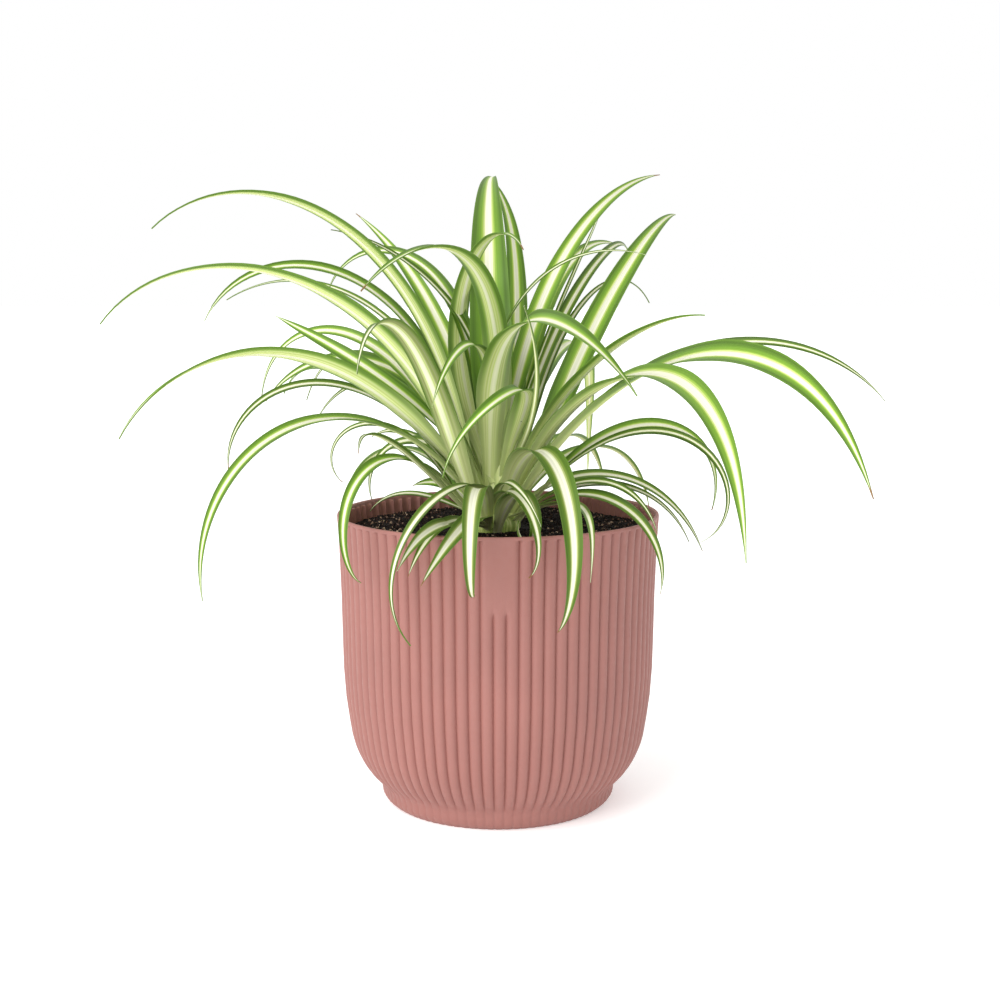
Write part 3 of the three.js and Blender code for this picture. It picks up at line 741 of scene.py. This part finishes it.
def soil_material():
    """Damp peat: near black, crumbly, with lighter crumbs."""
    nodes = Nodes("peat")
    crumbs = nodes.noise(nodes.position(), SOIL_SCALE, detail=4.0)
    nodes.feed("Base Color", nodes.ramp(nodes.span(crumbs, *SOIL_SPAN), SOIL_COLOURS))
    nodes.feed("Roughness", nodes.span(crumbs, *NOISE_MIDDLE, *SOIL_ROUGHNESS))
    nodes.feed("Specular IOR Level", SOIL_SPECULAR)
    nodes.bump(crumbs, SOIL_DEPTH)
    return nodes.material


def grain_material():
    """Single crumbs of peat, wood and grit, each of its own shade."""
    nodes = Nodes("peat_crumbs")
    shade = nodes.add("ShaderNodeAttribute", attribute_name="shade").outputs["Fac"]
    grit = nodes.noise(nodes.position(), GRIT_SCALE, detail=3.0)
    varied = nodes.maths("ADD", shade, nodes.span(grit, 0, 1, -GRIT_TINT, GRIT_TINT))
    nodes.feed("Base Color", nodes.ramp(varied, SOIL_COLOURS))
    nodes.feed("Roughness", nodes.span(grit, *NOISE_MIDDLE, *GRIT_ROUGHNESS))
    nodes.feed("Specular IOR Level", GRIT_SPECULAR)
    nodes.bump(grit, GRIT_DEPTH)
    return nodes.material


def crown_material():
    """Blanched leaf bases with fine upright lines."""
    nodes = Nodes("crown_sheath")
    place = nodes.add("ShaderNodeSeparateXYZ")
    nodes.put(nodes.position(), place.inputs[0])
    x, y, z = place.outputs
    lines = nodes.noise(nodes.join(x, y, nodes.maths("MULTIPLY", z, SHEATH_STRETCH)), SHEATH_SCALE)
    nodes.feed("Base Color", nodes.ramp(nodes.span(lines, *SHEATH_SPAN), CROWN_COLOURS))
    nodes.feed("Roughness", nodes.span(lines, *NOISE_MIDDLE, *SHEATH_ROUGHNESS))
    nodes.bump(lines, SHEATH_DEPTH)
    return nodes.material


def blade_inputs(nodes):
    """The places across and along a blade, and the four values of its look."""
    uv = nodes.add("ShaderNodeSeparateXYZ")
    nodes.put(nodes.add("ShaderNodeUVMap", uv_map="blade").outputs[0], uv.inputs[0])
    look = nodes.add("ShaderNodeAttribute", attribute_name="look")
    parts = nodes.add("ShaderNodeSeparateColor")
    nodes.put(look.outputs["Color"], parts.inputs[0])
    return uv.outputs[0], uv.outputs[1], (*parts.outputs, look.outputs["Alpha"])


def stripe_pattern(nodes, across, along, shift, spread, own):
    """A place on the scale of stripes, which is 0.5 in the middle of the cream one."""
    drift_along = nodes.maths("MULTIPLY", along, DRIFT_ALONG)
    drift = nodes.noise(nodes.join(0.0, drift_along, own), scale=1, detail=1.0)
    middle = nodes.maths("SUBTRACT", across, nodes.maths("ADD", 0.5, shift))
    middle = nodes.maths("ADD", middle, nodes.span(drift, 0, 1, -STRIPE_DRIFT, STRIPE_DRIFT))
    return nodes.maths("MULTIPLY_ADD", middle, spread, 0.5)


def margin_tone(nodes, pattern, shade):
    """1 on the cream stripe, and the blade's own shade on its margins."""
    from_stripe = nodes.maths("ABSOLUTE", nodes.maths("SUBTRACT", pattern, 0.5))
    margin = nodes.span(from_stripe, *MARGIN_FROM)
    return nodes.maths("MULTIPLY_ADD", nodes.maths("SUBTRACT", shade, 1.0), margin, 1.0)


def blade_material(name, stripes, roughness, blanch_painted_light_reach):
    """One face of a blade: green margins, a cream stripe with thin lines beside it, and parallel veins."""
    nodes = Nodes(name)
    across, along, (shift, spread, shade, dry_from) = blade_inputs(nodes)
    own = nodes.maths("MULTIPLY", shift, NOISE_APART)
    pattern = stripe_pattern(nodes, across, along, shift, spread, own)
    vein_across = nodes.maths("MULTIPLY", across, VEINS_ACROSS)
    vein_along = nodes.maths("MULTIPLY", along, VEINS_ALONG)
    veins = nodes.noise(nodes.join(vein_across, vein_along, own), scale=1, detail=1.0)
    veined = nodes.span(veins, *VEIN_SPAN, *VEIN_LIGHT)
    light = nodes.maths("MULTIPLY", margin_tone(nodes, pattern, shade), veined)
    colour = nodes.mix(1.0, nodes.ramp(pattern, stripes), nodes.join(light, light, light), "MULTIPLY")

    from_middle = nodes.maths("ABSOLUTE", nodes.maths("SUBTRACT", across, 0.5))
    colour = nodes.mix(nodes.span(from_middle, *EDGE_FROM, 0, EDGE_TINT), colour, linear(EDGE_COLOUR))
    # A pale foot: the blade's real blanching, brightened with painted light for the shaded middle of the
    # plant
    blanch_painted_light = nodes.span(along, 0, blanch_painted_light_reach, FOOT_BLANCH_PAINTED_LIGHT_SHARE, 0)
    colour = nodes.mix(blanch_painted_light, colour, linear(FOOT_BLANCH_PAINTED_LIGHT_COLOUR))
    dry = nodes.span(along, dry_from, nodes.maths("ADD", dry_from, DRY_FADE))
    nodes.feed("Base Color", nodes.mix(dry, colour, linear(DRY_COLOUR)))

    nodes.feed("Roughness", nodes.span(veins, *NOISE_MIDDLE, *roughness))
    nodes.feed("Specular IOR Level", BLADE_SPECULAR)
    nodes.bump(veins, VEIN_DEPTH)
    return nodes.material


def floor_material():
    """A plain white table without shine, which glows a little."""
    nodes = Nodes("studio_floor")
    nodes.feed("Base Color", linear(FLOOR_COLOUR))
    nodes.feed("Roughness", FLOOR_ROUGHNESS)
    nodes.feed("Specular IOR Level", 0)
    nodes.feed("Emission Color", WHITE)
    nodes.feed("Emission Strength", FLOOR_GLOW)
    return nodes.material


# Studio

def make_camera():
    data = bpy.data.cameras.new("camera")
    data.sensor_width = SENSOR_WIDTH
    data.lens = FOCAL_PIXELS / FRAME_PIXELS * SENSOR_WIDTH
    data.shift_x = 0.5 - AXIS_PIXEL / FRAME_PIXELS
    camera = bpy.data.objects.new("camera", data)
    camera.location = Vector(CAMERA_PLACE) * MM
    camera.rotation_euler = (math.radians(90 - CAMERA_PITCH), 0, 0)
    bpy.context.collection.objects.link(camera)
    bpy.context.scene.camera = camera


def aimed(name, data, place):
    data.color = WHITE[:3]
    light = bpy.data.objects.new(name, data)
    light.location = place
    light.rotation_euler = (Vector(LIGHT_AIM) - Vector(place)).to_track_quat("-Z", "Y").to_euler()
    bpy.context.collection.objects.link(light)


def make_lights():
    sun = bpy.data.lights.new("sun", "SUN")
    sun.energy = SUN_STRENGTH
    sun.angle = math.radians(SUN_ANGLE)
    aimed("sun", sun, SUN_FROM)
    front = bpy.data.lights.new("front", "AREA")
    front.shape = "DISK"
    front.size = FRONT_SIZE
    front.energy = FRONT_POWER
    aimed("front", front, FRONT_PLACE)


def make_world():
    """A white backdrop for the camera, and light of a strength of its own on the object."""
    world = bpy.data.worlds.new("studio")
    world.use_nodes = True
    tree = world.node_tree
    light = tree.nodes["Background"]
    light.inputs["Color"].default_value = WHITE
    light.inputs["Strength"].default_value = WORLD_STRENGTH
    backdrop = tree.nodes.new("ShaderNodeBackground")
    backdrop.inputs["Color"].default_value = WHITE
    backdrop.inputs["Strength"].default_value = BACKDROP_STRENGTH
    seen = tree.nodes.new("ShaderNodeLightPath")
    chosen = tree.nodes.new("ShaderNodeMixShader")
    tree.links.new(seen.outputs["Is Camera Ray"], chosen.inputs[0])
    tree.links.new(light.outputs[0], chosen.inputs[1])
    tree.links.new(backdrop.outputs[0], chosen.inputs[2])
    tree.links.new(chosen.outputs[0], tree.nodes["World Output"].inputs["Surface"])
    bpy.context.scene.world = world


def make_floor():
    half = FLOOR_SIZE / 2
    mesh = bpy.data.meshes.new("floor")
    corners = [(-half, -half, 0), (half, -half, 0), (half, half, 0), (-half, half, 0)]
    mesh.from_pydata(corners, [], [(0, 1, 2, 3)])
    mesh.materials.append(floor_material())
    floor = bpy.data.objects.new("floor", mesh)
    bpy.context.collection.objects.link(floor)


bpy.context.scene.view_settings.view_transform = "Standard"
make_camera()
make_world()
make_lights()
make_floor()
make_pot(plastic_material())
make_soil(soil_material())
make_grains(grain_material(), random.Random(GRAIN_SEED))
make_crown(crown_material())
make_leaves(
    blade_material("blade_upper", UPPER_STRIPES, UPPER_ROUGHNESS, UPPER_BLANCH_PAINTED_LIGHT_REACH),
    blade_material("blade_lower", LOWER_STRIPES, LOWER_ROUGHNESS, LOWER_BLANCH_PAINTED_LIGHT_REACH),
    random.Random(BLADE_SEED),
)
